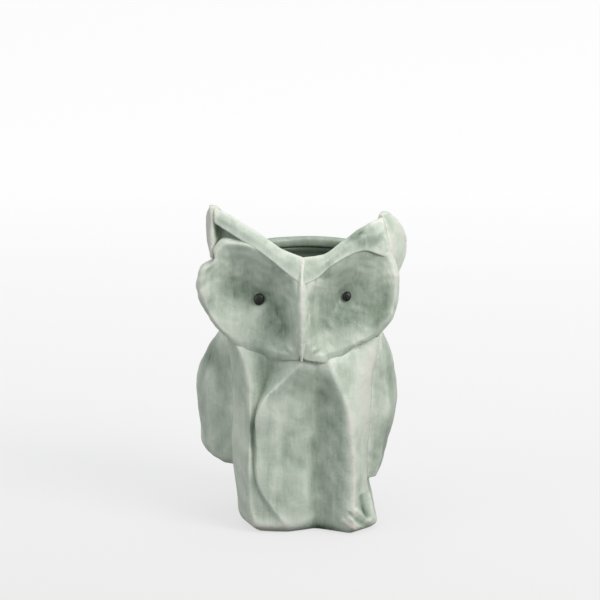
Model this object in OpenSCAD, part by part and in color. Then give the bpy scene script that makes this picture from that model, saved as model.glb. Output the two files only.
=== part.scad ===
// Hollow stoneware owl: a thrown pot with hand-cut pieces of clay luted round it.
// The pot's axis is the Z axis, the table is z = 0, and the owl faces -Y.
// Left and right are the viewer's left and right.

/* [Owl] */
// Height of the ear tips above the table
owl_h = 162; // [135:1:195]
// Width from the left wing to the right wing
owl_w = 101; // [84:1:122]

/* [Pot] */
// Thickness of the pot's wall
pot_wall = 5; // [3:0.5:7]
// Thickness of the pot's floor
pot_floor = 6; // [4:0.5:12]
// Height of the coil of clay that makes the lip
lip_t = 5.4; // [4:0.2:8]

/* [Body] */
// Height of the two feet
foot_h = 14; // [8:1:18]
// How far the left wing stands out from the body
left_wing_out = 19; // [10:0.5:24]
// How far the right wing stands out from the body
right_wing_out = 11; // [6:0.5:16]

/* [Face] */
// Depth of the bowls pressed round the eyes, below the beak's ridge
bowl_depth = 17; // [12:0.5:18]
// Width of the beak's ridge
beak_w = 4; // [3:0.5:6]
// Thickness of the brows
brow_t = 6.5; // [5:0.5:9]
// Diameter of the left eye
left_eye_d = 5.6; // [4:0.2:8]
// Diameter of the right eye
right_eye_d = 4.4; // [3.6:0.2:7]
// Gap between an eye and the hole it is set in, all round
eye_gap = 0.1; // [0.05:0.05:0.3]

/* [Hidden] */
$fn = 96;

up = owl_h / 162;                     // the lines below are drawn for an owl 162 high
wide = owl_w / 101;                   // and 101 wide
body_pot_r = 30 * wide;
head_pot_r = 35 * wide;
shoulder_z = 88 * up;                 // the pot widens from here
head_z = 104 * up;                    // to here
mouth_z = 136 * up;
foot_z = foot_h / up;                 // before stretching
neck_z = 97;                          // the body ends and the head begins
crown_z = (mouth_z - lip_t) / up;      // the head's slabs end under the lip
mask_back = -20;                      // the face's flat back
ridge_y = -50;                        // the beak's ridge
eye_deep = 2;                         // depth of the holes for the eyes
eye_out = 1.6;                        // and how far the eyes stand out of them
celadon = [0.66, 0.70, 0.64];
pale = [0.80, 0.81, 0.76];
dark = [0.08, 0.09, 0.08];

// ---- crease lines of the body, as [z, x, y]; the flats between them are cut with a knife
left_side = [[0, -30, -6], [5, -33, -6], [16, -34, -6], [40, -37, -6], [97, -37.5, -6]];
flank_edge = [[0, -29, -24], [5, -32, -25], [14, -33.3, -26], [32, -35, -26], [66, -35, -26], [97, -38, -27]];
flank_ridge = [[0, -22, -38], [4, -24, -41], [14, -25.9, -41], [41, -26, -40], [67, -26.1, -39],
               [82, -27.5, -38], [92, -31.3, -34.5], [97, -35, -31]];
groove = [[0, -15, -39], [4, -14, -41.5], [14, -18, -41], [26, -22.5, -40.4], [41, -24, -38.7],
          [59, -23.1, -37.5], [69, -20.2, -36.5], [82, -15.5, -36.5], [90, -13, -37.5], [97, -13, -36]];
belly_left = [[0, -7, -39], [4, -7.4, -41.5], [12, -13.3, -42.5], [21, -19.5, -42.5], [41, -22, -42],
              [61, -21.8, -42], [71, -16.8, -42], [80, -7.2, -42.5], [87, -1.1, -43.5], [97, -1, -38]];
belly_mid = [[0, 0, -35.5], [12, -2, -40], [41, -8, -39.5], [70, -4, -39.5], [87, 3, -41.5], [97, 3, -37.5]];
valley = [[0, 6.6, -31.5], [5, 7, -33.5], [15, 7.7, -34.5], [41, 7.8, -35], [67, 7.9, -36.5],
          [86, 7, -40], [97, 6, -37.5]];
belly_right = [[0, 25, -40], [4, 25.4, -43], [27, 25.8, -42], [48, 24.8, -42], [64, 22.8, -42],
               [76, 18.3, -42], [88, 13.3, -41], [97, 12, -36.5]];
right_edge = [[0, 35, -28], [4, 37, -29], [10, 35.3, -29.5], [16, 33, -29], [22, 32, -29], [66, 33.4, -29],
              [81, 34.4, -29], [97, 38, -26]];
right_side = [[0, 33, -6], [5, 35, -6], [16, 32.5, -6], [26, 32, -6], [40, 34.5, -6], [97, 37.5, -6]];
// and of the rounded back, as [z, half width on the right, half width on the left, depth]
body_back = [[0, 32, 30.5, 35], [5, 34, 33.3, 37.5], [16, 32.5, 34.2, 38], [26, 32.5, 35, 38.5], [40, 35, 37, 39],
             [80, 37, 37, 39.5], [97, 37.5, 37.5, 39]];
head_back = [[97, 37.5, 37.5, 39], [106, 41, 41, 40.5], [116, 42, 42, 41], [124, 40.5, 40.5, 40], [130, 37.5, 37.5, 37.5]];
back_turn = [14, 32, 52, 72, 90, 108, 128, 148, 166];

low_steps = [0, 0.15, 0.3, 0.65, 1] * foot_z;
high_steps = [foot_z, 21, 27, 34, 41, 50, 59, 64, 69, 75, 80, 84, 88, 92, neck_z];
side_steps = concat(low_steps, [for (i = [1:len(high_steps) - 1]) high_steps[i]]);
head_steps = [neck_z, 106, 111, 116, 124, crown_z + 1];

// ---- the face's lines, as [x, y, z]. Each pair starts at the brows' notch and goes over the eye.
left_rim = [[-1, -42, 136], [-9, -39, 138.5], [-19, -34, 144.5], [-29, -30.5, 146], [-40, -26.5, 146.2],
            [-44.6, -25.5, 140.8], [-45, -26, 136.8], [-52, -26, 130.5], [-52.8, -26, 120], [-48.6, -27.5, 109],
            [-41, -30.6, 99.5], [-31.2, -34, 93.9], [-19.9, -38, 91.8], [-8.1, -42, 89.8], [-0.5, -45, 88.7],
            [0, -48, 104], [0, -46.5, 121]];
left_crest = [[-2.2, -45.5, 129], [-9.1, -42, 134.7], [-18.4, -38, 140.9], [-27.2, -34, 143.5], [-37, -30.5, 143.5],
              [-42, -28.5, 139.5], [-43.4, -28.3, 135.2], [-49, -28.3, 128], [-49.3, -28.8, 119.5], [-45.4, -30, 110.5],
              [-39.4, -32, 102.5], [-30.6, -36, 97.4], [-19.5, -40, 95], [-9, -43.5, 93.5], [-3, -46.5, 95],
              [-1.8, -48, 105], [-1.8, -47, 120]];
left_pit = [-21.5, ridge_y, 116.6];
right_rim = [[1, -42, 136], [12, -39, 138.5], [21, -35, 144.5], [29.5, -31, 147.5], [36, -28, 146],
             [41.5, -27, 142], [44.8, -26, 136.2], [47.2, -26, 128], [46.9, -26, 116.8], [44.6, -27.5, 107.5],
             [37.6, -30, 99], [25, -35, 93.8], [12, -42.5, 89.2], [0.5, -45, 88.7], [0, -48, 104], [0, -46.5, 121]];
right_crest = [[4.7, -46, 127], [12, -42, 134], [21.7, -38, 140.5], [28.9, -34, 142.8], [35, -31, 141.8],
               [39.5, -29, 138.5], [42.3, -28, 134], [44.5, -28, 127], [44.2, -28, 117.5], [42, -29.5, 109],
               [35.5, -32, 102], [24, -37, 96.8], [12, -43, 92.5], [4, -46.5, 94], [1.8, -48, 105], [2.2, -47, 120]];
right_pit = [21.6, ridge_y, 118.5];

// Top and bottom edges of the brows, from the notch to the ears
left_brow_top = [[2, -40, 140.6], [-8.4, -37.5, 142.9], [-17, -33, 147.5], [-26, -29, 152.5], [-35, -25, 157],
                 [-44.5, -22, 162]];
left_brow_foot = [[2, -47, 126.5], [-8, -43, 133.5], [-16, -39.5, 139.3], [-25, -34.5, 144.5], [-34, -30, 148.8],
                  [-44, -25.5, 154]];
right_brow_top = [[-2, -40, 140.6], [10.2, -39, 141.5], [18, -36.5, 146.5], [26, -32, 152], [33, -28, 156.8],
                  [38.8, -24, 161]];
right_brow_foot = [[-2, -47, 126], [7, -44.5, 130.5], [14, -41, 136], [22, -38, 140.5], [31, -33.5, 142.5],
                   [43.6, -28, 136]];
beak_line = [[-40.5, 141.5], [-44.5, 134], [-48, 126], [ridge_y, 115], [ridge_y, 106], [-49, 98], [-47.5, 91], [-46, 87.5]];

// Plans of the ears at rising heights, as [z, corners]
left_ear_plans = [[136, [[-46, -26], [-44, -26], [-42, -23], [-26, -27], [-24, -18], [-36, -10], [-47, -12]]],
                  [143, [[-46, -26], [-44, -26], [-42, -22], [-26, -25], [-24, -18], [-36, -11], [-49, -10]]],
                  [149, [[-46, -25.5], [-44, -25.5], [-42, -21], [-28, -24], [-27, -20], [-38, -12], [-49.5, -10]]],
                  [155, [[-45.5, -24], [-44, -24.5], [-42, -21], [-35, -23.5], [-35, -20], [-41, -14], [-48.8, -12]]],
                  [162, [[-45.2, -21.5], [-44.5, -21.6], [-44, -21.3], [-43.4, -21], [-43, -19.5], [-44, -17], [-46, -18]]]];
right_ear_plans = [[128, [[44, -26], [47.4, -18], [44, -8], [38, -10], [38, -22]]],
                   [139, [[43.5, -26], [50.5, -9], [47, -4], [37, -8], [32, -24]]],
                   [150, [[41.5, -25], [49, -11], [46, -6], [38, -10], [33, -22]]],
                   [157, [[39.8, -24], [45.5, -15], [43, -10], [38, -13], [36, -21]]],
                   [161, [[38.4, -23], [41, -20], [40.5, -17], [38.5, -18], [37, -22]]]];

// Outlines of the wings, as [z, share of the stand-out, front edge's y, back edge's y]
left_wing_line = [[28, 0.1, -16, 2], [30, 0.48, -19, 8], [35, 0.78, -21, 13], [46, 0.9, -23, 18], [59, 1, -24, 21],
                  [69, 1, -24, 22], [80, 0.85, -24, 20], [88, 0.63, -24, 16], [96, 0.3, -22, 8]];
right_wing_line = [[22, 0.05, -18, 0], [27, 0.25, -20, 6], [34.5, 0.46, -22, 12], [50, 0.86, -24, 18], [60, 1, -25, 21],
                   [76, 0.86, -25, 21], [87, 0.58, -24, 16], [96, 0.25, -22, 8]];

// ---- functions
function at(line, z) = [for (k = [1:len(line[0]) - 1]) lookup(z, [for (p = line) [p[0], p[k]]])];
function body_ring(z) = concat(
    [for (line = [left_side, flank_edge, flank_ridge, groove, belly_left, belly_mid, valley, belly_right,
                  right_edge, right_side]) at(line, z)],
    [for (a = back_turn) round_back(at(body_back, z), a)]);
function head_ring(z) = [for (a = concat([-6], back_turn, [186])) round_back(at(head_back, z), a)];
function round_back(b, a) = [(cos(a) > 0 ? b[0] : b[1]) * cos(a), b[2] * sin(a)];
function placed(p) = [p.x * wide, p.y * wide, p.z * up];
function level(plan, z) = [for (p = plan) placed([p.x, p.y, z])];
function middle(ring) = [for (k = [0:2]) [for (p = ring) p[k]] * [for (p = ring) 1] / len(ring)];
function mixed(a, b, t) = a + (b - a) * t;
function outward(pts, faces) = [for (f = faces) pts[f[0]] * cross(pts[f[1]], pts[f[2]])] * [for (f = faces) 1];

// Closed solid whose skin runs through rings of equal length, with both ends capped.
// Next to a ring's last point the diagonals agree, so that two neighbours share a wall.
module stack(rings) {
    n = len(rings[0]);
    m = len(rings);
    pts = concat([for (r = rings) each r], [middle(rings[0]), middle(rings[m - 1])]);
    faces = concat(
        [for (j = [0:m - 2], i = [0:n - 1])
            let (a = j * n + i, b = j * n + (i + 1) % n)
            each i == n - 1 ? [[a, a + n, b + n], [a, b + n, b]] : [[a, a + n, b], [b, a + n, b + n]]],
        [for (i = [0:n - 1]) [m * n, i, (i + 1) % n]],
        [for (i = [0:n - 1]) [m * n + 1, (m - 1) * n + (i + 1) % n, (m - 1) * n + i]]);
    polyhedron(pts, outward(pts, faces) > 0 ? [for (f = faces) [f[0], f[2], f[1]]] : faces);
}

// ---- the pot and its lip
module pot_blank() {
    rotate_extrude() polygon([
        [0, 0], [body_pot_r, 0], [body_pot_r, shoulder_z], [head_pot_r, head_z],
        [head_pot_r, mouth_z - lip_t], [0, mouth_z - lip_t]]);
}

module pot() {
    color(celadon) difference() {
        pot_blank();
        rotate_extrude() polygon([
            [0, pot_floor], [body_pot_r - pot_wall, pot_floor], [body_pot_r - pot_wall, shoulder_z],
            [head_pot_r - pot_wall, head_z], [head_pot_r - pot_wall, mouth_z], [0, mouth_z]]);
    }
}

module lip_coil() {
    inner = head_pot_r - pot_wall - 1;
    outer = head_pot_r + 0.5;
    bend = lip_t * 0.4;
    color(pale) rotate_extrude() {
        translate([inner, mouth_z - lip_t]) square([outer - inner, lip_t - bend]);
        translate([inner + bend, mouth_z - lip_t]) square([outer - inner - 2 * bend, lip_t]);
        translate([inner + bend, mouth_z - bend]) circle(bend);
        translate([outer - bend, mouth_z - bend]) circle(bend);
    }
}

// Everything luted on is cut to the pot, and stays clear of the lip and the mouth above it, out to clear_r
module on_pot(clear_r = head_pot_r + 0.5) {
    difference() {
        children();
        rotate_extrude() polygon([
            [0, 0], [body_pot_r, 0], [body_pot_r, shoulder_z], [head_pot_r, head_z],
            [head_pot_r, mouth_z - lip_t], [clear_r, mouth_z - lip_t], [clear_r, 2 * owl_h], [0, 2 * owl_h]]);
    }
}

// ---- the body's slabs, from one crease line of the ring to another
module slab_blank(first, last, steps) {
    stack([for (z = steps) let (ring = body_ring(z))
        level(concat([for (i = [first:last]) ring[i % len(ring)]], [[0, 0]]), z)]);
}

module slab(first, last, steps) {
    on_pot() slab_blank(first, last, steps);
}

module under_face() {
    difference() {
        children();
        bowl_blank(left_rim, left_crest, left_pit);
        bowl_blank(right_rim, right_crest, right_pit);
        beak_blank();
    }
}

module left_foot() {
    color(celadon) slab(0, 6, low_steps);
}

module right_foot() {
    color(celadon) slab(6, 9, low_steps);
}

module left_flank() {
    color(celadon) under_face() slab(0, 4, high_steps);
}

module breast() {
    color(celadon) under_face() slab(4, 7, high_steps);
}

module right_flank() {
    color(pale) under_face() slab(7, 9, high_steps);
}

module back_slab() {
    color(celadon) slab(9, 19, side_steps);
}

// ---- the wings: lens-shaped slabs from the front edge over the thickest line to the back edge
module wing(line, body_x, out, side) {
    difference() {
        under_face() stack([for (w = line)
            let (thick = body_x + out * w[1], y0 = w[2], y1 = w[3])
            level([for (p = [[body_x - 1, y0], [mixed(body_x, thick, 0.62), mixed(y0, y1, 0.22)],
                             [thick, mixed(y0, y1, 0.5)], [mixed(body_x, thick, 0.7), mixed(y0, y1, 0.8)],
                             [body_x - 1, y1], [10, mixed(y0, y1, 0.5)]]) [side * p.x, p.y]], w[0])]);
        slab_blank(0, 9, side_steps);
        slab_blank(9, 19, side_steps);
    }
}

module left_wing() {
    color(celadon) wing(left_wing_line, 37, left_wing_out, -1);
}

module right_wing() {
    color(pale) wing(right_wing_line, 35.5, right_wing_out, 1);
}

// ---- the head behind the face
module head_slab(first, last, front) {
    difference() {
        on_pot(owl_w) stack([for (z = head_steps) let (ring = head_ring(z))
            level(concat(front > 0 ? [[0, mask_back], [ring[0].x, mask_back]] : [],
                         [for (i = [first:last]) ring[i]],
                         front < 0 ? [[ring[10].x, mask_back], [0, mask_back]] : [], [[0, 0]]), z)]);
        left_ear_blank();
        right_ear_blank();
    }
}

module right_temple() {
    color(celadon) head_slab(0, 3, 1);
}

module nape() {
    color(celadon) head_slab(3, 7, 0);
}

module left_temple() {
    color(celadon) head_slab(7, 10, -1);
}

// ---- the face
// A bowl pressed round an eye: from the flat back over the rim and the crest down to the pit
module bowl_blank(rim, crest, pit) {
    floor_y = pit.y + bowl_depth;
    stack(concat(
        [[for (p = rim) placed([p.x, mask_back, p.z])], [for (p = rim) placed(p)]],
        [for (t = [0, 0.2, 0.45, 0.75, 0.9])
            [for (p = crest) placed([mixed(p.x, pit.x, t), mixed(p.y, floor_y, 1 - pow(1 - t, 2.2)), mixed(p.z, pit.z, t)])]]));
}

module bowl(rim, crest, pit, eye_d) {
    color(celadon) difference() {
        on_pot() bowl_blank(rim, crest, pit);
        beak_blank();
        left_brow_blank();
        right_brow_blank();
        eye_place(pit) cylinder(h = 2 * eye_deep, d = eye_d + 2 * eye_gap, center = true);
    }
}

module left_bowl() {
    bowl(left_rim, left_crest, left_pit, left_eye_d);
}

module right_bowl() {
    bowl(right_rim, right_crest, right_pit, right_eye_d);
}

// The end of an eye's axis at the bowl's floor, with Z going out of it
module eye_place(pit) {
    translate(placed([pit.x, pit.y + bowl_depth, pit.z])) rotate([90, 0, 0]) children();
}

module eye(pit, d) {
    color(dark) eye_place(pit) {
        translate([0, 0, -eye_deep]) cylinder(h = eye_deep + 0.4, d = d);
        intersection() {
            translate([0, 0, 0.4]) scale(1) translate([0, 0, eye_out - 0.4 - d * 0.62]) sphere(d = d * 1.24);
            translate([0, 0, 0.4]) cylinder(h = eye_out, d = d);
        }
    }
}

module left_eye() {
    eye(left_pit, left_eye_d);
}

module right_eye() {
    eye(right_pit, right_eye_d);
}

module beak_blank() {
    stack([for (p = beak_line)
        [for (c = [[-beak_w, -37], [-beak_w * 0.45, p.x + 1.5], [0, p.x], [beak_w * 0.45, p.x + 1.5], [beak_w, -37]])
            placed([c.x, c.y, p.y])]]);
}

module beak() {
    color(pale) on_pot() beak_blank();
}

// A brow between its top edge and its foot, bulging a little between them
module brow_blank(top, foot) {
    stack([for (i = [0:len(top) - 1])
        let (a = placed(top[i]), b = placed(foot[i]))
        [a, mixed(a, b, 0.5) + [0, -0.9, 0.4], b, b + [0, brow_t, -1], a + [0, brow_t, -2]]]);
}

module left_brow_blank() {
    intersection() {
        brow_blank(left_brow_top, left_brow_foot);
        translate([-80, -80, 0]) cube([80, 160, 300]);
    }
}

module right_brow_blank() {
    intersection() {
        brow_blank(right_brow_top, right_brow_foot);
        translate([0, -80, 0]) cube([80, 160, 300]);
    }
}

module left_brow() {
    color(pale) difference() {
        on_pot() left_brow_blank();
        beak_blank();
    }
}

module right_brow() {
    color(celadon) difference() {
        on_pot() right_brow_blank();
        beak_blank();
    }
}

// ---- the ears
module left_ear_blank() {
    difference() {
        stack([for (e = left_ear_plans) level(e[1], e[0])]);
        left_brow_blank();
        bowl_blank(left_rim, left_crest, left_pit);
    }
}

module right_ear_blank() {
    difference() {
        stack([for (e = right_ear_plans) level(e[1], e[0])]);
        right_brow_blank();
        bowl_blank(right_rim, right_crest, right_pit);
    }
}

module left_ear() {
    color(celadon) on_pot() left_ear_blank();
}

module right_ear() {
    color(pale) on_pot() right_ear_blank();
}

// ---- drawing
pot();
lip_coil();
left_foot();
right_foot();
left_flank();
breast();
right_flank();
back_slab();
left_wing();
right_wing();
left_temple();
right_temple();
nape();
left_bowl();
right_bowl();
beak();
left_brow();
right_brow();
left_ear();
right_ear();
left_eye();
right_eye();
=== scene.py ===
import bpy
import math
import numpy as np
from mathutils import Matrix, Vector


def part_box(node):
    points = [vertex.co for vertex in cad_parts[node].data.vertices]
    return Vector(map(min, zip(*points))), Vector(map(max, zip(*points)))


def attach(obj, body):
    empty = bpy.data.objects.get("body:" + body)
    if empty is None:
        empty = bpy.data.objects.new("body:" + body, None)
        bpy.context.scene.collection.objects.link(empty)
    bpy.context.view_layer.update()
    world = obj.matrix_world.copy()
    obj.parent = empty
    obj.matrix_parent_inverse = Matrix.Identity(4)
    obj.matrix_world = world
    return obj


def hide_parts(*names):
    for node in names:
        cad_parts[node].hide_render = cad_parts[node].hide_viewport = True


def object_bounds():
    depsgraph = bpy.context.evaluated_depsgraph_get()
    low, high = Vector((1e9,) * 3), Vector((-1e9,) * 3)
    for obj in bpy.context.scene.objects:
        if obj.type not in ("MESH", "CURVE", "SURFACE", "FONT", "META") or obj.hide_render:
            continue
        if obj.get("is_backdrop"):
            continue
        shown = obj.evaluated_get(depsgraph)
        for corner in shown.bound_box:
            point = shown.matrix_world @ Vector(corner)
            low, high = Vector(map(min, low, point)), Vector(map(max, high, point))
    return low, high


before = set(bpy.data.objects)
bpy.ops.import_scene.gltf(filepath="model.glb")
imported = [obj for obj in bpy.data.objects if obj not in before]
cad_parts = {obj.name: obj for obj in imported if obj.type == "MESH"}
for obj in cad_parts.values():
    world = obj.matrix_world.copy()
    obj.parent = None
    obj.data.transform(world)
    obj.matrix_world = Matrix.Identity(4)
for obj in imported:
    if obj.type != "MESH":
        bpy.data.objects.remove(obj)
cadLow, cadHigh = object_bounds()          # the CAD model's box
mm = (cadHigh[2] - cadLow[2]) / 162    # one unit of the tables below, in metres


# small tools for whole arrays

def alongLine(line, at):
    # Points of a line at rising first values: cubic pieces through the table's points,
    # with each slope taken from the neighbours.
    line = np.asarray(line, float)
    key = line[:, 0]
    slope = np.gradient(line[:, 1:], key, axis=0)
    k = np.clip(np.searchsorted(key, at) - 1, 0, len(key) - 2)
    h = (key[k + 1] - key[k])[:, None]
    s = np.clip((np.asarray(at) - key[k])[:, None] / h, 0, 1)
    a, b, ma, mb = line[k, 1:], line[k + 1, 1:], slope[k] * h, slope[k + 1] * h
    return (2*s**3 - 3*s**2 + 1)*a + (s**3 - 2*s**2 + s)*ma + (3*s**2 - 2*s**3)*b + (s**3 - s**2)*mb


def soften(grid, times, axis, closed):
    # Each pass turns a point into a quarter of each neighbour and half of itself. Open ends stay where they are.
    grid = grid.copy()
    for _ in range(times):
        mixed = 0.25 * np.roll(grid, 1, axis) + 0.5 * grid + 0.25 * np.roll(grid, -1, axis)
        if not closed:
            ends = [slice(None)] * grid.ndim
            for end in (0, -1):
                ends[axis] = end
                mixed[tuple(ends)] = grid[tuple(ends)]
        grid = mixed
    return grid


def gridNormals(grid, closed):
    # Cross product of the grid's two directions, with the columns joined up if closed.
    across = (np.roll(grid, -1, 1) - np.roll(grid, 1, 1)) if closed else np.gradient(grid, axis=1)
    normal = np.cross(across, np.gradient(grid, axis=0))
    return normal / np.maximum(np.linalg.norm(normal, axis=2, keepdims=True), 1e-9)


def relief(grid, normal, reach, closed):
    # How far a point stands out of the mean of four points reach steps away, over their distance:
    # ridges above 0, hollows below.
    rows, cols = np.arange(grid.shape[0]), np.arange(grid.shape[1])
    wide = np.roll(grid, reach, 1), np.roll(grid, -reach, 1)
    if not closed:
        wide = grid[:, np.maximum(cols - reach, 0)], grid[:, np.minimum(cols + reach, cols[-1])]
    tall = grid[np.maximum(rows - reach, 0)], grid[np.minimum(rows + reach, rows[-1])]
    around = np.stack([*wide, *tall])
    gap = np.linalg.norm(around - grid, axis=3).mean(0) + 1e-6
    return -((around.mean(0) - grid) * normal).sum(2) / gap


def lumps(points, size, seed):
    # Soft lumps about that size across: a sum of twelve sine waves in fixed odd directions,
    # each bent by a slower one.
    rng = np.random.default_rng(seed)
    ways = rng.normal(size=(12, 3))
    ways /= np.linalg.norm(ways, axis=1, keepdims=True)
    pace = 2 * math.pi / (size * rng.uniform(0.8, 2.2, 12))
    bent = points + 0.35 * size * np.sin(points[..., [1, 2, 0]] * 1.7 / size + seed)
    return np.sin((bent @ ways.T) * pace + rng.uniform(0, 6.28, 12)).sum(-1) / 3.5


def spacedBetween(corners, steps):
    # Puts steps[i] even points from corner i to the next one, along the last but one axis;
    # the last corner ends the row.
    parts = [corners[..., i:i + 1, :] + (corners[..., i + 1:i + 2, :] - corners[..., i:i + 1, :])
             * np.linspace(0, 1, n, endpoint=False)[:, None] for i, n in enumerate(steps)]
    return np.concatenate(parts + [corners[..., -1:, :]], axis=-2)


def quads(rows, cols, closed=False):
    # The four corners of each cell of a grid whose points are numbered row by row.
    r, c = np.meshgrid(np.arange(rows - 1), np.arange(cols if closed else cols - 1), indexing="ij")
    a, d = r * cols + c, r * cols + (c + 1) % cols
    return np.stack([a, d, d + cols, a + cols], -1).reshape(-1, 4)


def tubeFaces(rows, cols):
    # The cells of a grid whose columns are joined up, then a fan of triangles at each end.
    # The fans' own points come after the grid's: first the first row's, then the last row's.
    ring, blank = np.arange(cols), np.full(cols, -1)
    after, last = (ring + 1) % cols, (rows - 1) * cols
    return np.concatenate([quads(rows, cols, closed=True),
                           np.stack([np.full(cols, rows * cols), after, ring, blank], 1),
                           np.stack([np.full(cols, rows * cols + 1), last + ring, last + after, blank], 1)])


def bells(points, spots):
    # A sum of bell curves. Each spot is x, y, z of the middle, the three reaches, and the height.
    total = np.zeros(points.shape[:-1])
    for x, y, z, rx, ry, rz, height in spots:
        total += height * np.exp(-(((points - (x, y, z)) / (rx, ry, rz)) ** 2).sum(-1))
    return total


def addPiece(name, points, faces, material, edge=None, poolAndShade=None, normals=None, smooth=None):
    # Points in table units become a mesh object at the origin. Triangles are quads whose last corner is -1.
    mesh = bpy.data.meshes.new(name)
    faces = np.asarray(faces)
    sizes = np.where(faces[:, 3] < 0, 3, 4)
    loops = faces[faces >= 0]
    mesh.vertices.add(len(points))
    mesh.vertices.foreach_set("co", (np.asarray(points) * mm).astype(np.float32).ravel())
    mesh.loops.add(len(loops))
    mesh.loops.foreach_set("vertex_index", loops.astype(np.int32))
    mesh.polygons.add(len(faces))
    mesh.polygons.foreach_set("loop_start", np.concatenate([[0], np.cumsum(sizes)[:-1]]).astype(np.int32))
    mesh.polygons.foreach_set("use_smooth", np.ones(len(faces), bool) if smooth is None else smooth)
    mesh.update(calc_edges=True)
    mesh.validate()
    for label, values in (("edge", edge), ("poolAndShade", poolAndShade)):
        layer = mesh.attributes.new(label, "FLOAT", "POINT")
        values = np.full(len(points), 0.5) if values is None else values
        layer.data.foreach_set("value", values.astype(np.float32))
    if normals is not None:
        mesh.normals_split_custom_set([tuple(n) for n in normals])
    mesh.materials.append(material)
    piece = bpy.data.objects.new(name, mesh)
    bpy.context.scene.collection.objects.link(piece)
    return piece


def standsFor(piece, node):
    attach(piece, "root")
    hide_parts(node)


def glazeMarks(grid, normal, closed, fine=2, broad=9):
    # The two attributes that the glaze reads: fine edges, and the broad hollows where it pools, with the patches of
    # painted shade and light added.
    edge = soften(soften(relief(grid, normal, fine, closed), 2, 0, False), 2, 1, closed)
    poolAndShade = soften(soften(relief(grid, normal, broad, closed), 3, 0, False), 3, 1, closed)
    return np.clip(0.5 + 1.6 * edge, 0.34, 1), withShadeAndGlazePatches(grid, np.clip(0.5 - 1.0 * poolAndShade, 0, 0.74))


# painted shade (+) and painted light (-) laid on the glaze's colour, partly also glaze lying thick or thin: x, y, z of
# the middle, the three reaches, amount
shadeLightAndGlazePatches = [
    (-21, -38, 85, 9, 9, 13, 0.24),         # the hollow under the left bowl
    (-23.5, -39.5, 46, 2.4, 4, 34, 0.12),   # the groove beside the belly
    (16, -38, 45, 7, 8, 40, 0.13),          # the belly's right side
    (-13, -42, 56, 7, 6, 24, -0.18),        # the belly's left side
    (30, -34, 72, 6, 12, 42, -0.30),        # the right flank
    (-31, -33, 46, 6, 10, 40, -0.22),       # the left flank
    (-48, -12, 84, 10, 16, 9, 0.36),        # the top of the left wing
    (45, -14, 72, 6, 16, 11, 0.22),         # the right wing's upper press
    (41, -18, 42, 6, 14, 12, 0.16),         # its lower press
    (42, -22, 58, 6, 8, 4, -0.3),           # and the ridge between them
    (9, -36, 1, 9, 9, 4, 0.6),              # the undercut between the feet
    (31, -33, 9, 6, 9, 8, 0.32),            # the right foot
    (26, -31, 150, 13, 10, 7, 0.46),        # the right brow
    (47, -15, 146, 6, 14, 14, -0.34),       # the right ear's outer leaf
    (-48, -20, 150, 3, 12, 16, -0.42),      # the left ear's
    (33, -32, 108, 12, 8, 11, 0.36),        # the right cheek
    (-34, -32, 106, 14, 8, 11, -0.2),       # the left cheek
    (-40, -29, 128, 8, 6, 8, -0.12),        # and above it
    (-27, -30, 118.5, 8, 8, 5, 0.36),       # the left bowl's valley, outside the eye
    (-15, -34, 108, 6, 8, 9, 0.38),         # and inside it
    (20, -34, 112, 7, 7, 7, 0.22),          # the right bowl's valley
    (20, -38, 99, 9, 7, 6, -0.14),          # and the slope under it
]


def withShadeAndGlazePatches(points, poolAndShade):
    # Adds the patches of painted shade and light to the pool attribute, and a little painted shade along the bottom
    # edge.
    return np.clip(poolAndShade + bells(points, shadeLightAndGlazePatches) + 0.12 * np.clip(1 - points[..., 2] / 4, 0, 1), 0, 1)


# thumb presses in the wings: x, y, z of the middle, the three reaches, depth
thumbPresses = [
    (47, -18, 75, 8, 12, 11, 2.0), (45, -18, 43, 8, 12, 9, 1.7),
    (-52, -14, 84, 8, 13, 8, 1.2), (-52, -12, 55, 8, 12, 15, 0.7),
]


# glazes

def shaderNodes(name):
    # A new material and short ways to add and link its nodes. A value whose name starts with _ goes to the
    # socket of that name, any other to the node itself.
    material = bpy.data.materials.new(name)
    material.use_nodes = True
    tree = material.node_tree
    shader = tree.nodes["Principled BSDF"]

    def add(kind, **values):
        node = tree.nodes.new(kind)
        for key, value in values.items():
            if key.startswith("_"):
                node.inputs[key[1:].replace("_", " ")].default_value = value
            else:
                setattr(node, key, value)
        return node

    return material, shader, add, tree.links.new


# deepShade is painted shade: the darkest tone, for the pot's inside and the most shaded hollows. hollow is pooled
# glaze's green, also reached under painted shade.
celadon = dict(
    deepShade=(0.085, 0.112, 0.08), hollow=(0.185, 0.24, 0.182), middle=(0.405, 0.466, 0.39), thin=(0.61, 0.66, 0.58),
    bare=(0.66, 0.655, 0.595), clay=(0.40, 0.345, 0.28),
    bands=(0.0, 0.07, 0.44, 0.80, 1.0),          # where the first five colours stand
    level=0.50, edgeShare=1.0, poolAndShadeShare=1.1,    # what the two attributes add
    cloudSize=0.016, cloudShare=0.50, streakSize=0.005, streakShare=0.34, streakStretch=0.13,
    brushSize=0.0019, brushShare=0.30, brushStretch=0.16, grainSize=0.0011, grainShare=0.16,
    wornFrom=0.62, wornSize=0.0032, wornShare=0.7,
    roughness=0.42, coat=0.18, coatRoughness=0.25,
    markSize=0.0045, markDepth=0.0007, runDepth=0.0005, grainDepth=0.0001,
)


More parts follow.
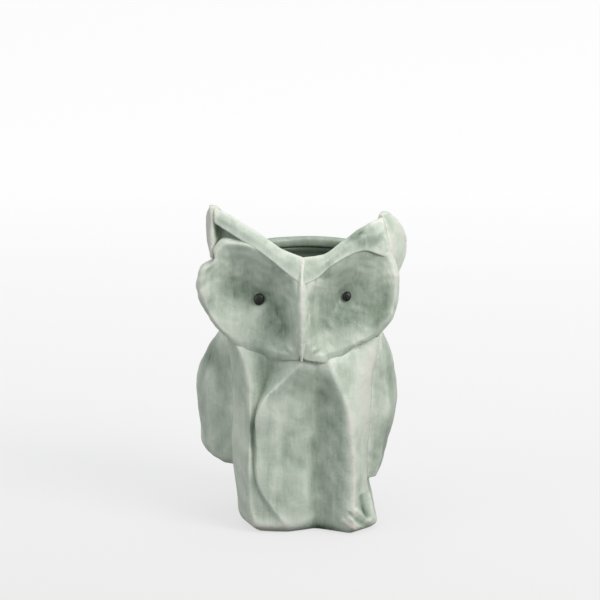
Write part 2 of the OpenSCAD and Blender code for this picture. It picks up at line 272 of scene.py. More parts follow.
def celadonGlaze(look):
    # Colour runs from the painted shade's deep tone and the hollow's green over the middle to the thin glaze on
    # the edges, moved about by clouds, runs, brush strokes and grain.
    material, shader, add, link = shaderNodes("celadonGlaze")
    place = add("ShaderNodeTexCoord")
    edge = add("ShaderNodeAttribute", attribute_name="edge")
    poolAndShade = add("ShaderNodeAttribute", attribute_name="poolAndShade")

    def noise(size, detail, roughness, distortion, stretch=1.0):
        # Noise of that size, drawn out in height where stretch is under 1.
        node = add("ShaderNodeTexNoise", _Scale=1 / size, _Detail=detail, _Roughness=roughness,
                   _Distortion=distortion)
        source = place.outputs["Object"]
        if stretch != 1.0:
            drawnOut = add("ShaderNodeMapping")
            drawnOut.inputs["Scale"].default_value = (1, 1, stretch)
            link(source, drawnOut.inputs["Vector"])
            source = drawnOut.outputs["Vector"]
        link(source, node.inputs["Vector"])
        return node.outputs["Fac"]

    def maths(kind, a, b, clamp=False):
        # One sum; a and b are numbers or other nodes' outputs.
        node = add("ShaderNodeMath", operation=kind, use_clamp=clamp)
        for socket, value in zip(node.inputs, (a, b)):
            if isinstance(value, (int, float)):
                socket.default_value = value
            else:
                link(value, socket)
        return node.outputs[0]

    def about(middle, value, share, clamp=False):
        # (value - middle) * share
        return maths("MULTIPLY", maths("SUBTRACT", value, middle), share, clamp)

    clouds = noise(look["cloudSize"], 4.0, 0.55, 0.4)
    runs = noise(look["streakSize"], 3.0, 0.5, 0.6, look["streakStretch"])
    brush = noise(look["brushSize"], 2.0, 0.55, 0.9, look["brushStretch"])
    grain = noise(look["grainSize"], 2.0, 0.6, 0.0)

    # 0 in the deepest hollow and under the darkest painted shade, 1 on the sharpest edge
    depth = look["level"]
    for value, share in ((edge.outputs["Fac"], look["edgeShare"]), (poolAndShade.outputs["Fac"], -look["poolAndShadeShare"]),
                         (clouds, look["cloudShare"]), (runs, look["streakShare"]),
                         (brush, look["brushShare"]), (grain, look["grainShare"])):
        depth = maths("ADD", about(0.5, value, share), depth)
    ramp = add("ShaderNodeValToRGB")
    bands = ramp.color_ramp.elements
    while len(bands) < len(look["bands"]):
        bands.new(0.5)
    for band, position, colour in zip(bands, look["bands"], ("deepShade", "hollow", "middle", "thin", "bare")):
        band.position, band.color = position, (*look[colour], 1)
    link(depth, ramp.inputs["Fac"])

    # on the sharpest edges the glaze has run off in places, and the clay shows brown
    breaks = noise(look["wornSize"], 3.0, 0.6, 0.0)
    worn = maths("MULTIPLY", about(look["wornFrom"], edge.outputs["Fac"], 3.5, True),
                 about(0.47, breaks, 5.0, True), True)
    edgeMix = add("ShaderNodeMix", data_type="RGBA")
    colourIn = [socket for socket in edgeMix.inputs if socket.type == "RGBA"]
    link(ramp.outputs["Color"], colourIn[0])
    colourIn[1].default_value = (*look["clay"], 1)
    link(maths("MULTIPLY", worn, look["wornShare"]), edgeMix.inputs["Factor"])
    link([out for out in edgeMix.outputs if out.type == "RGBA"][0], shader.inputs["Base Color"])

    gloss = add("ShaderNodeMapRange", _From_Min=0.3, _From_Max=0.75,
                _To_Min=look["roughness"] - 0.07, _To_Max=look["roughness"] + 0.12)
    link(clouds, gloss.inputs["Value"])
    link(gloss.outputs["Result"], shader.inputs["Roughness"])
    shader.inputs["Coat Weight"].default_value = look["coat"]
    shader.inputs["Coat Roughness"].default_value = look["coatRoughness"]
    shader.inputs["IOR"].default_value = 1.5

    # hand marks, then the glaze's own runs and grain, each laid over the one before
    marks = noise(look["markSize"], 3.0, 0.45, 0.8)
    below = None
    for height, strength, distance in ((marks, 0.42, look["markDepth"]), (runs, 0.30, look["runDepth"]),
                                       (grain, 0.12, look["grainDepth"])):
        bump = add("ShaderNodeBump", _Strength=strength, _Distance=distance)
        link(height, bump.inputs["Height"])
        if below:
            link(below, bump.inputs["Normal"])
        below = bump.outputs["Normal"]
    link(below, shader.inputs["Normal"])
    return material


eyeLook = dict(dark=(0.006, 0.008, 0.006), light=(0.022, 0.026, 0.021), patchScale=1400.0, glossy=0.36, dull=0.52)


def blackGlaze(look):
    # Near black, a little lighter and duller in patches, with a faint ripple.
    material, shader, add, link = shaderNodes("blackGlaze")
    place = add("ShaderNodeTexCoord")
    patches = add("ShaderNodeTexNoise", _Scale=look["patchScale"], _Detail=3.0, _Roughness=0.6)
    link(place.outputs["Object"], patches.inputs["Vector"])
    ramp = add("ShaderNodeValToRGB")
    for band, position, colour in zip(ramp.color_ramp.elements, (0.3, 0.75), ("dark", "light")):
        band.position, band.color = position, (*look[colour], 1)
    link(patches.outputs["Fac"], ramp.inputs["Fac"])
    link(ramp.outputs["Color"], shader.inputs["Base Color"])
    gloss = add("ShaderNodeMapRange", _To_Min=look["glossy"], _To_Max=look["dull"])
    link(patches.outputs["Fac"], gloss.inputs["Value"])
    link(gloss.outputs["Result"], shader.inputs["Roughness"])
    ripple = add("ShaderNodeBump", _Strength=0.2, _Distance=0.0002)
    link(patches.outputs["Fac"], ripple.inputs["Height"])
    link(ripple.outputs["Normal"], shader.inputs["Normal"])
    return material


glaze = celadonGlaze(celadon)
eyeGlaze = blackGlaze(eyeLook)
print("glazes ready")


# solids of revolution: the pot inside, its lip and the eyes

def spun(profile, around, middle, wobble=None):
    # A closed outline of (radius, height) turned about Z. Where wobble is given, it moves each point's
    # radius and height by its angle.
    turn = np.linspace(0, 2 * math.pi, around, endpoint=False)
    profile = np.asarray(profile, float)
    radius = np.broadcast_to(profile[:, None, 0], (len(profile), around)).copy()
    height = np.broadcast_to(profile[:, None, 1], (len(profile), around)).copy()
    if wobble:
        radius, height = wobble(turn[None, :], radius, height)
    return np.stack([middle[0] + radius * np.cos(turn), middle[1] + radius * np.sin(turn), middle[2] + height], -1)


potCut = dict(
    wall=5.0, floor=6.0, bodyRadius=30.0, shoulder=88.0, headFrom=104.0, floorCurve=6.0,
    ringPitch=4.2, ringDepth=0.22, spiral=0.15,
)
potLow, potHigh = [np.array(corner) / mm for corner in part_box("pot")]
headRadius = (potHigh[0] - potLow[0]) / 2
potTop = potHigh[2]


def thrownPot(cut):
    # The outline runs from the middle of the underside out, up the outside, over the top, down the inside
    # with a throwing ring every ringPitch, round a quarter circle and back over the floor.
    outer = [(0, 0), (cut["bodyRadius"] - 1, 0), (cut["bodyRadius"], 1)]
    outer += [(cut["bodyRadius"], z) for z in np.linspace(4, cut["shoulder"], 16)]
    outer += [(headRadius, z) for z in np.linspace(cut["headFrom"], potTop, 8)]
    curve = cut["floorCurve"]
    insideZ = np.linspace(potTop, cut["floor"] + curve, 150)
    rise = np.clip((insideZ - cut["shoulder"]) / (cut["headFrom"] - cut["shoulder"]), 0, 1)
    rise = rise * rise * (3 - 2 * rise)
    inside = cut["bodyRadius"] - cut["wall"] + (headRadius - cut["bodyRadius"]) * rise
    inside = inside + cut["ringDepth"] * np.sin(2 * math.pi * insideZ / cut["ringPitch"])
    bend = np.linspace(0, math.pi / 2, 14)[1:]
    floorBend = [(inside[-1] - curve * (1 - math.cos(b)), cut["floor"] + curve * (1 - math.sin(b))) for b in bend]
    floor = [(r, cut["floor"] + cut["spiral"] * math.cos(r * 1.3))
             for r in np.linspace(inside[-1] - curve - 1, 1, 24)]
    outline = outer + list(zip(inside, insideZ)) + floorBend + floor
    grid = spun(outline[1:], 160, (0, 0, 0))
    points = np.concatenate([grid.reshape(-1, 3), [[0, 0, 0], [0, 0, cut["floor"]]]])
    # painted shade: the pot takes the darkest tones, low edges and a full pool, darkest towards the top, where its
    # inside shows in the mouth's shade
    depth = np.clip((points[:, 2] - 60) / 80, 0, 1)
    return addPiece("pot", points, tubeFaces(*grid.shape[:2]), glaze,
                    edge=np.full(len(points), 0.25), poolAndShade=1.0 - 0.12 * (1 - depth))


standsFor(thrownPot(potCut), "pot")

lipShape = dict(sway=0.35, pinch=0.3, square=3.0, edgeShare=0.35, poolAndShadeShare=0.6, poolLevel=0.47)
lipLow, lipHigh = [np.array(corner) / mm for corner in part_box("lip_coil")]


def lipCoil(shape):
    # A rounded band carried round the mouth: a superellipse between the pot's inside and the lip's outside,
    # whose top sways on three sine waves and whose width is pinched on a fourth.
    outer, inner = (lipHigh[0] - lipLow[0]) / 2, headRadius - potCut["wall"] - 1
    halfWide, halfTall = (outer - inner) / 2, (lipHigh[2] - lipLow[2]) / 2
    a = np.linspace(0, 2 * math.pi, 40, endpoint=False)
    power = 2 / shape["square"]
    section = np.stack([(outer + inner) / 2 + halfWide * np.sign(np.cos(a)) * np.abs(np.cos(a)) ** power,
                        halfTall * np.sign(np.sin(a)) * np.abs(np.sin(a)) ** power], 1)

    def wobble(turn, radius, height):
        up = (height > 0) * height / halfTall
        sway = np.sin(3 * turn + 0.7) + 0.6 * np.sin(7 * turn + 2.1) + 0.4 * np.sin(11 * turn)
        return (radius - shape["pinch"] * (0.5 + 0.5 * np.sin(5 * turn + 1.3)),
                height - up * shape["sway"] * (1.2 + 0.5 * sway) * 0.6)

    grid = spun(section, 200, (0, 0, (lipLow[2] + lipHigh[2]) / 2), wobble)
    normal = gridNormals(np.concatenate([grid[-1:], grid, grid[:1]]), True)[1:-1]
    rows, cols = grid.shape[:2]
    ring, last = np.arange(cols), (rows - 1) * cols
    after = (ring + 1) % cols
    faces = np.concatenate([quads(rows, cols, closed=True), np.stack([last + ring, last + after, after, ring], 1)])
    edge, poolAndShade = glazeMarks(grid, normal, True, 2, 5)
    return addPiece("lipCoil", grid.reshape(-1, 3), faces, glaze, 0.5 + shape["edgeShare"] * (edge.ravel() - 0.5),
                    poolAndShade.ravel() * shape["poolAndShadeShare"] + shape["poolLevel"])


standsFor(lipCoil(lipShape), "lip_coil")
print("pot and lip ready")

eyeShape = dict(rings=22, around=48, squash=0.07, sunk=2.1, taller=1.08)


def eyePellet(name, node, shape):
    # A short pellet with a domed end that faces the viewer: its outline is turned about Z, then Z becomes -Y.
    low, high = [np.array(corner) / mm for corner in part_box(node)]
    middle, radius, length = (low + high) / 2, (high[0] - low[0]) / 2, high[1] - low[1]
    high[1] += shape["sunk"]
    dome = np.linspace(0, math.pi / 2, shape["rings"])
    collar = length * 0.58
    outline = [(radius * 0.5, 0), (radius, 0)]
    outline += [(radius * math.cos(a) ** 0.8, collar + (length - collar) * math.sin(a)) for a in dome[:-1]]
    grid = spun(outline, shape["around"], (0, 0, 0),
                lambda turn, r, z: (r * (1 - shape["squash"] * (0.5 + 0.5 * np.sin(2 * turn + radius))), z))
    grid = np.stack([middle[0] + grid[..., 0], high[1] - grid[..., 2],
                     middle[2] + shape["taller"] * grid[..., 1]], -1)
    ends = [[middle[0], y, middle[2]] for y in (high[1], low[1] + shape["sunk"])]
    points = np.concatenate([grid.reshape(-1, 3), ends])
    standsFor(addPiece(name, points, tubeFaces(*grid.shape[:2]), eyeGlaze), node)


eyePellet("leftEye", "left_eye", eyeShape)
eyePellet("rightEye", "right_eye", eyeShape)


# the body's skin: flats between crease lines that run up the owl, as [height, x, y]

creases = dict(
    leftSide=[[0, -29.5, -6], [2, -31.6, -6], [5, -32.8, -6], [16, -34, -6], [40, -37, -6],
              [97, -37.5, -6], [116, -42, -6], [125, -40.5, -6], [130.6, -37, -6]],
    flankEdge=[[0, -28, -23.5], [2, -30.4, -24.5], [5, -32, -25], [14, -33.4, -26], [32, -35, -26],
               [66, -35, -26], [97, -38, -24], [116, -42, -22], [130.6, -37, -22]],
    flankRidge=[[0, -22, -38], [2, -23.5, -40.2], [5, -24.2, -41], [14, -25.9, -41], [41, -26, -40],
                [67, -26.1, -39], [82, -27.5, -38], [92, -31.3, -34.5], [97, -35, -31], [130.6, -35, -28]],
    groove=[[0, -15, -39], [2, -14.4, -41], [5, -14, -41.5], [14, -18, -41], [26, -22.5, -40.4],
            [41, -24, -38.7], [59, -23.1, -37.5], [69, -20.2, -36.5], [82, -15.5, -36.5], [90, -13, -37.5],
            [97, -13, -36], [130.6, -13, -36]],
    bellyLeft=[[0, -7, -39], [2, -7.2, -40.8], [5, -8, -41.8], [12, -13.3, -42.5], [21, -19.5, -42.5],
               [41, -22, -42], [61, -21.8, -42], [71, -16.8, -42], [80, -7.2, -42.5], [87, -1.1, -43.5],
               [97, -1, -38], [130.6, -1, -38]],
    bellyMid=[[0, 0, -35.5], [2, -0.2, -37.3], [12, -2, -40], [41, -8, -39.5], [70, -4, -39.5],
              [87, 3, -41.5], [97, 3, -37.5], [130.6, 3, -37.5]],
    valley=[[0, 6.6, -31.5], [2, 6.7, -32.8], [5, 7, -33.5], [15, 7.7, -34.5], [41, 7.8, -35],
            [67, 7.9, -36.5], [86, 7, -40], [97, 6, -37.5], [130.6, 6, -37.5]],
    bellyRight=[[0, 25, -40], [2, 25.3, -42.2], [5, 25.4, -43], [27, 25.8, -42], [48, 24.8, -42],
                [64, 22.8, -42], [76, 18.3, -42], [88, 13.3, -41], [97, 12, -36.5], [130.6, 12, -36.5]],
    rightEdge=[[0, 35, -28], [2, 36.7, -28.8], [4, 37, -29], [10, 35.4, -29.5], [16, 33, -29], [22, 32.2, -29],
               [66, 33.4, -29], [81, 34.4, -29], [97, 38, -25], [116, 42, -22], [130.6, 37, -22]],
    rightSide=[[0, 33, -6], [5, 35, -6], [16, 32.5, -6], [26, 32, -6], [40, 34.5, -6], [97, 37.5, -6],
               [116, 42, -6], [125, 40.5, -6], [130.6, 37, -6]],
)
# the rounded back: [height, half width on the right, half width on the left, depth]
backLine = [[0, 31.6, 30, 34.5], [2, 33.2, 32, 36.6], [5, 34, 33.2, 37.5], [16, 32.5, 34.2, 38],
            [26, 32.5, 35, 38.5], [40, 35, 37, 39], [80, 37, 37, 39.5], [97, 37.6, 37.6, 39.3],
            [106, 40.5, 40.5, 40.3], [116, 42, 42, 41], [124, 40.8, 40.8, 40.2], [128.5, 39, 39, 38.8],
            [130.6, 36.6, 36.6, 36.6]]
backTurns = [14, 32, 52, 72, 90, 108, 128, 148, 166]      # degrees round the back
skinCut = dict(
    rowStep=0.72, creaseRounding=7, bellyRounding=40, riseRounding=5, baseRounding=0.045, baseReach=4.5,
    lumpSize=15.0, lumpHeight=0.30, dentSize=6.0, dentHeight=0.10, fadeReach=6.0,
    steps=[28, 24, 20, 16, 24, 24, 28, 24, 28] + [14] * 10,      # points from each crease to the next
)
skinTop = 130.6
neckLine = 97.0
footLine = 14.0


# long finger marks down the belly: x at height 40, lean, width, the heights it runs between,
# ridge (+) or groove (-)
bellyMarks = [
    (-12.5, 0.03, 2.4, 14, 66, 0.35), (-7.5, 0.03, 2.4, 20, 64, -0.28), (1.6, 0.0, 2.2, 10, 40, 0.7),
    (5.2, 0.0, 1.8, 8, 50, -0.3), (14.5, -0.04, 2.4, 12, 66, 0.2),
]
# toe marks, strokes on the right foot: from x, z to x, z, width, ridge (+) or groove (-)
toeMarks = [
    (24, 11, 31.5, 2.5, 1.0, -0.8), (27, 12.5, 33.5, 4.5, 0.9, 0.7), (29.5, 18, 32, 7, 1.1, -0.9),
    (33, 17, 34.6, 6, 0.9, 0.6), (21, 7, 26, 2.5, 1.2, 0.5),
]


def frontMarks(points):
    # A belly mark is a bell curve across its line, faded in and out along it; a toe mark is a bell curve of the
    # distance to its stroke. Both are on the front only.
    x, z = points[..., 0], points[..., 2]
    depth = np.zeros(x.shape)
    for at, lean, width, low, high, height in bellyMarks:
        across = np.exp(-((x - at - lean * (z - 40)) / width) ** 2)
        along = 1 / (1 + np.exp(-(z - low) / 3)) / (1 + np.exp((z - high) / 4))
        depth += height * across * along
    for x0, z0, x1, z1, width, height in toeMarks:
        t = ((x - x0) * (x1 - x0) + (z - z0) * (z1 - z0)) / ((x1 - x0) ** 2 + (z1 - z0) ** 2)
        t = np.clip(t, 0, 1)
        away = (x - x0 - t * (x1 - x0)) ** 2 + (z - z0 - t * (z1 - z0)) ** 2
        depth += height * np.exp(-away / width ** 2)
    return depth * (points[..., 1] < -20)


def bodySkin(cut):
    # Row by row up the owl, points are spread evenly between the crease lines. The creases are rounded, the foot
    # is drawn in, and lumps, dents and finger marks are pushed along the normals.
    z = np.linspace(0, skinTop, int(skinTop / cut["rowStep"]) + 1)
    z[np.argmin(abs(z - neckLine))] = neckLine
    z[np.argmin(abs(z - footLine))] = footLine
    lines = [alongLine(line, z) for line in creases.values()]
    back = alongLine(backLine, z)
    for turn in np.radians(backTurns):
        half = back[:, 0] if math.cos(turn) > 0 else back[:, 1]
        lines.append(np.stack([half * math.cos(turn), back[:, 2] * math.sin(turn)], 1))
    corners = np.stack(lines + lines[:1], axis=1)
    flat = spacedBetween(corners, cut["steps"])[:, :-1]
    flat = soften(soften(flat, cut["creaseRounding"], 1, True), cut["riseRounding"], 0, False)
    # the belly's own creases are softer than its rim
    belly = slice(sum(cut["steps"][:4]) + 5, sum(cut["steps"][:7]) - 3)
    flat[:, belly] = soften(flat[:, belly], cut["bellyRounding"], 1, False)
    grid = np.concatenate([flat, np.broadcast_to(z[:, None, None], flat.shape[:2] + (1,))], 2)
    normal = gridNormals(grid, True)
    fade = np.clip(z / cut["fadeReach"], 0, 1)[:, None]
    grid[..., :2] *= 1 - cut["baseRounding"] * np.clip(1 - z / cut["baseReach"], 0, 1)[:, None, None] ** 2.5
    push = cut["lumpHeight"] * lumps(grid, cut["lumpSize"], 3)
    push += cut["dentHeight"] * lumps(grid, cut["dentSize"], 8) + frontMarks(grid)
    grid[..., :2] += (normal * (push * fade)[..., None])[..., :2]
    return z, grid


skinZ, skinGrid = bodySkin(skinCut)
skinNormal = gridNormals(skinGrid, True)
skinEdge, skinPoolAndShade = glazeMarks(skinGrid, skinNormal, True)
# the column of each crease line, once round and one more
skinAt = np.concatenate([[0], np.cumsum(skinCut["steps"] + skinCut["steps"][:1])])


def innerRadius(z):
    # The pot's outer wall, with a hair's gap for the slip.
    rise = np.clip((z - potCut["shoulder"]) / (potCut["headFrom"] - potCut["shoulder"]), 0, 1)
    return potCut["bodyRadius"] + (headRadius - potCut["bodyRadius"]) * rise + 0.05


def skinPiece(name, node, firstCrease, lastCrease, low, high):
    # Cuts a rectangle out of the skin's grid and closes it with a second sheet on the pot and four borders.
    # The outer sheet keeps the whole skin's normals, so that two pieces meet without a step in the shading.
    cols = np.arange(skinAt[firstCrease], skinAt[lastCrease] + 1) % skinGrid.shape[1]
    rows = np.where((skinZ >= low - 1e-6) & (skinZ <= high + 1e-6))[0]
    pick = np.ix_(rows, cols)
    outer, normal = skinGrid[pick], skinNormal[pick]
    radial = outer[..., :2] / np.linalg.norm(outer[..., :2], axis=2, keepdims=True)
    inner = np.concatenate([radial * innerRadius(outer[..., 2:3]), outer[..., 2:3]], 2)
    tall, wide = outer.shape[:2]
    count = tall * wide
    number = np.arange(count).reshape(tall, wide)
    sheet = quads(tall, wide)
    rim = np.concatenate([number[0, :-1], number[:-1, -1], number[-1, :0:-1], number[:0:-1, 0]])
    after = np.roll(rim, -1)
    border = np.stack([rim + count, after + count, after, rim], 1)
    faces = np.concatenate([sheet, sheet[:, ::-1] + count, border])
    smooth = np.arange(len(faces)) < 2 * len(sheet)
    loopNormals = np.zeros((len(faces) * 4, 3))
    loopNormals[:len(sheet) * 4] = normal.reshape(-1, 3)[sheet.ravel()]
    marks = [np.concatenate([m[pick].ravel(), m[pick].ravel()]) for m in (skinEdge, skinPoolAndShade)]
    points = np.concatenate([outer.reshape(-1, 3), inner.reshape(-1, 3)])
    standsFor(addPiece(name, points, faces, glaze, *marks, normals=loopNormals, smooth=smooth), node)


for name, node, firstCrease, lastCrease, low, high in (
        ("leftFoot", "left_foot", 0, 6, 0, footLine), ("rightFoot", "right_foot", 6, 9, 0, footLine),
        ("leftFlank", "left_flank", 0, 4, footLine, neckLine), ("breast", "breast", 4, 7, footLine, neckLine),
        ("rightFlank", "right_flank", 7, 9, footLine, neckLine), ("backSlab", "back_slab", 9, 19, 0, neckLine),
        ("rightTemple", "right_temple", 8, 12, neckLine, skinTop), ("nape", "nape", 12, 16, neckLine, skinTop),
        ("leftTemple", "left_temple", 16, 20, neckLine, skinTop)):
    skinPiece(name, node, firstCrease, lastCrease, low, high)
print("body and head slabs ready")


# slabs lofted through plans: wings, brows, beak and ears

def tubePiece(name, node, grid, edge, poolAndShade):
    # A grid whose columns are joined up, closed by fans to the middles of its first and last rows.
    points = np.concatenate([grid.reshape(-1, 3), [grid[0].mean(0), grid[-1].mean(0)]])
    marks = [np.concatenate([m.ravel(), [m[0].mean(), m[-1].mean()]]) for m in (edge, poolAndShade)]
    standsFor(addPiece(name, points, tubeFaces(*grid.shape[:2]), glaze, *marks), node)


def loftedSlab(name, node, plans, step, rounding, capLength, lumpHeight, seed, edgeShare=0.7):
    # Corner points are carried from plan to plan on cubic pieces and joined by straight edges. The ends are drawn
    # in on quarter ellipses, everything is rounded both ways, and lumps and thumb presses follow the normals.
    plans = np.asarray(plans, float)
    gaps = np.linalg.norm(np.diff(plans.mean(1), axis=0), axis=1)
    key = np.concatenate([[0], np.cumsum(gaps)])
    at = np.linspace(0, key[-1], max(8, int(key[-1] / step)))
    table = np.concatenate([key[:, None], plans.reshape(len(plans), -1)], 1)
    corners = alongLine(table, at).reshape(len(at), -1, 3)
    closedCorners = np.concatenate([corners, corners[:, :1]], 1)
    sides = np.linalg.norm(np.diff(closedCorners, axis=1), axis=2).mean(0)
    around = spacedBetween(closedCorners, [max(3, int(s / step)) for s in sides])[:, :-1]
    ends = []
    for end, way in ((0, 1), (-1, -1)):
        middle = around[end].mean(0)
        lean = middle - around[end + 3 * way].mean(0)
        lean /= np.linalg.norm(lean)
        turn = np.linspace(0, math.pi / 2, 9)[1:-1][:, None, None]
        ends.append(middle + (around[end] - middle) * np.cos(turn) + lean * capLength * np.sin(turn))
    grid = np.concatenate([ends[0][::-1], around, ends[1]])
    grid = soften(soften(grid, rounding, 1, True), max(rounding - 2, 1), 0, False)
    normal = gridNormals(grid, True)
    if ((grid - grid.mean(1, keepdims=True)) * normal).sum() < 0:      # the columns run the wrong way round
        grid, normal = grid[:, ::-1], gridNormals(grid[:, ::-1], True)
    push = lumpHeight * (lumps(grid, 9, seed) + 0.35 * lumps(grid, 4, seed + 5)) - bells(grid, thumbPresses)
    grid = grid + normal * push[..., None]
    edge, poolAndShade = glazeMarks(grid, gridNormals(grid, True), True, 2, 7)
    tubePiece(name, node, grid, 0.5 + edgeShare * (edge - 0.5), poolAndShade)


def wingPlans(line, bodyX, out, side):
    # Each plan is a lens: front edge, a facet line, the thickest line, a second facet line, back edge, and a root
    # inside the body. The line is [height, share of the full thickness, front, back].
    plans = []
    for z, share, front, back in line:
        thick, long = out * share, back - front
        plan = [(-4.5, front - 1), (thick * 0.66, front + long * 0.2), (thick, front + long * 0.5),
                (thick * 0.72, front + long * 0.8), (-3.5, back + 1.5), (-6, front + long * 0.5)]
        plans.append([(side * (bodyX + x), y, z) for x, y in plan])
    return plans


leftWingLine = [[28.6, 0.3, -17, 5], [30.5, 0.56, -19, 8], [35, 0.8, -21, 13], [46, 0.9, -23, 18], [59, 1, -24, 21],
                [69, 1, -24, 22], [80, 0.85, -24, 20], [88, 0.63, -24, 16], [95, 0.34, -22, 8]]
rightWingLine = [[23, 0.1, -18, 1], [27.5, 0.28, -20, 6], [34.5, 0.48, -22, 12], [50, 0.88, -24, 18],
                 [60, 1, -25, 21], [76, 0.88, -25, 21], [87, 0.62, -24, 16], [95, 0.3, -22, 8]]
wingSlab = dict(step=0.8, rounding=6, capLength=1.6, lumpHeight=0.16)
leftTip, rightTip = -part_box("left_wing")[0][0] / mm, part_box("right_wing")[1][0] / mm
loftedSlab("leftWing", "left_wing", wingPlans(leftWingLine, 37, leftTip - 37.2, -1), seed=11, **wingSlab)
loftedSlab("rightWing", "right_wing", wingPlans(rightWingLine, 35.5, rightTip - 35.7, 1), seed=12, **wingSlab)

# the beak's ridge: [depth, height, share of the full width], with its section as (share of x, y behind the ridge)
beakLine = [[-43.2, 136.8, 0.35], [-45.6, 132.5, 0.6], [-48, 126, 0.9], [-49.8, 115, 1], [-49.8, 106, 1],
            [-48.8, 98, 0.85], [-47.4, 91.5, 0.6], [-46.2, 88.6, 0.35]]
beakSection = [(-4.0, 7.2), (-1.8, 2.4), (-0.6, 0.3), (0.8, 0.2), (2.4, 2.4), (5.0, 7.4), (0, 9)]
beakSlab = dict(step=0.5, rounding=9, capLength=0.8, lumpHeight=0.16, edgeShare=0.5)
beakPlans = [[(x * share, y + behind, z) for x, behind in beakSection] for y, z, share in beakLine]
loftedSlab("beak", "beak", beakPlans, seed=21, **beakSlab)


def browPlans(top, foot, thick):
    # Each plan runs over the brow: top edge, a slight bulge, foot, then the edges pushed back by the thickness.
    plans = []
    for a, b in zip(np.asarray(top, float), np.asarray(foot, float)):
        bulge = (a + b) / 2 + (0, -0.6, 0.3)
        plans.append([a, bulge, b + (0, 0.2, -0.9), b + (0, thick, -1.4), a + (0, thick, -1.6)])
    return plans


# each brow's top edge and its foot, from the notch out to the ear, as [x, y, z]
leftBrowTop = [[1, -40.6, 139.8], [-8.4, -37.6, 142.6], [-17, -33.4, 147.2], [-26, -29.4, 152.2],
               [-35, -25.4, 156.7], [-43.8, -22.6, 160.6]]
leftBrowFoot = [[0.5, -46.6, 127.5], [-8, -43, 133.5], [-16, -39.5, 139.3], [-25, -34.5, 144.5],
                [-34, -30, 148.8], [-43.4, -25.8, 154]]
rightBrowTop = [[-1, -40.6, 139.8], [10.2, -39, 141.3], [18, -36.5, 146.2], [26, -32, 151.6],
                [33, -28, 155.4], [38.6, -24.5, 157.4]]
rightBrowFoot = [[-0.5, -46.6, 127], [7, -44.5, 130.5], [14, -41, 136], [22, -38, 140.5],
                 [31, -33.5, 142.5], [43.0, -28, 137]]
browThick = 6.2
browSlab = dict(step=0.55, rounding=4, capLength=0.8, lumpHeight=0.16)
loftedSlab("leftBrow", "left_brow", browPlans(leftBrowTop, leftBrowFoot, browThick), seed=31, **browSlab)
loftedSlab("rightBrow", "right_brow", browPlans(rightBrowTop, rightBrowFoot, browThick), seed=32, **browSlab)

# the ears' plans from the bottom up: height, then its corners as [x, y]
leftEarPlans = [[136, [[-46, -26], [-44, -26], [-42, -23], [-26, -27], [-24, -18], [-36, -10], [-47, -12]]],
                [143, [[-46, -26], [-44, -26], [-42, -22], [-26, -25], [-24, -18], [-36, -11], [-49, -10]]],
                [149, [[-46, -25.5], [-44, -25.5], [-42, -21], [-28, -24], [-27, -20], [-38, -12], [-49.3, -10]]],
                [155, [[-46, -24], [-44.5, -24.5], [-42, -22], [-37, -23.5], [-36, -20], [-41, -14], [-48.8, -12]]],
                [160.2, [[-46.6, -22.5], [-45.2, -23.0], [-43.6, -22.8], [-41.6, -22.2], [-41.4, -20],
                         [-43, -16.4], [-46.8, -16.6]]]]
rightEarPlans = [[127, [[43, -26], [46.4, -19], [44, -10], [38, -10], [38, -22]]],
                 [138, [[43.5, -26], [50.6, -10], [48, -4], [37, -8], [32, -24]]],
                 [149, [[41.5, -25], [48.8, -11], [46, -6], [38, -10], [33, -22]]],
                 [154.5, [[40, -24], [45, -14], [43.5, -9], [38, -12], [36, -21]]],
                 [157.2, [[38.8, -23.4], [42, -16], [41, -12.5], [38, -14], [36.8, -21.5]]]]
earSlab = dict(step=0.6, rounding=4, capLength=1.4, lumpHeight=0.2)
for name, node, plans, seed in (("leftEar", "left_ear", leftEarPlans, 41),
                                ("rightEar", "right_ear", rightEarPlans, 42)):
    loftedSlab(name, node, [[(x, y, z) for x, y in plan] for z, plan in plans], seed=seed, **earSlab)
print("wings, beak, brows and ears ready")


# the face: two bowls, each falling from its crest to a valley that passes under the eye. Rim and crest run round
# the bowl from the notch between the brows, the valley from the cheek in, as [x, y, z].

leftFace = dict(
    rim=[[-1, -42, 136], [-9, -39, 138.5], [-19, -34, 144.5], [-29, -30.5, 146], [-40, -26.5, 146.2],
         [-44.2, -26.5, 140.8], [-43.4, -27.5, 135.8], [-51.4, -27.5, 131.6], [-52.8, -28, 120], [-48.4, -29, 109],
         [-40.6, -31.5, 99.5], [-31.2, -34, 93.9], [-19.9, -38, 91.8], [-8.1, -42, 89.8], [-0.5, -45, 88.7],
         [0, -48, 104], [0, -46.5, 121]],
    crest=[[-2.2, -44.7, 129], [-9.1, -42, 134.7], [-18.4, -38, 140.9], [-27.2, -34, 143.5], [-37, -30.5, 143.5],
           [-41.6, -29.6, 139.5], [-43.4, -30, 135.2], [-49, -30.4, 128.6], [-49.3, -31, 119.5], [-45.4, -31.8, 110.5],
           [-39.4, -33.4, 102.5], [-30.6, -36, 97.4], [-19.5, -40, 95], [-9, -43, 93.5], [-3, -45.7, 95],
           [-1.5, -47.7, 105], [-1.5, -46.7, 120]],
    valley=[[-35.5, -28.4, 123.6], [-28, -29.2, 120], [-21.5, -30.4, 116.6], [-15.4, -33.2, 109], [-11, -36.4, 103]],
)
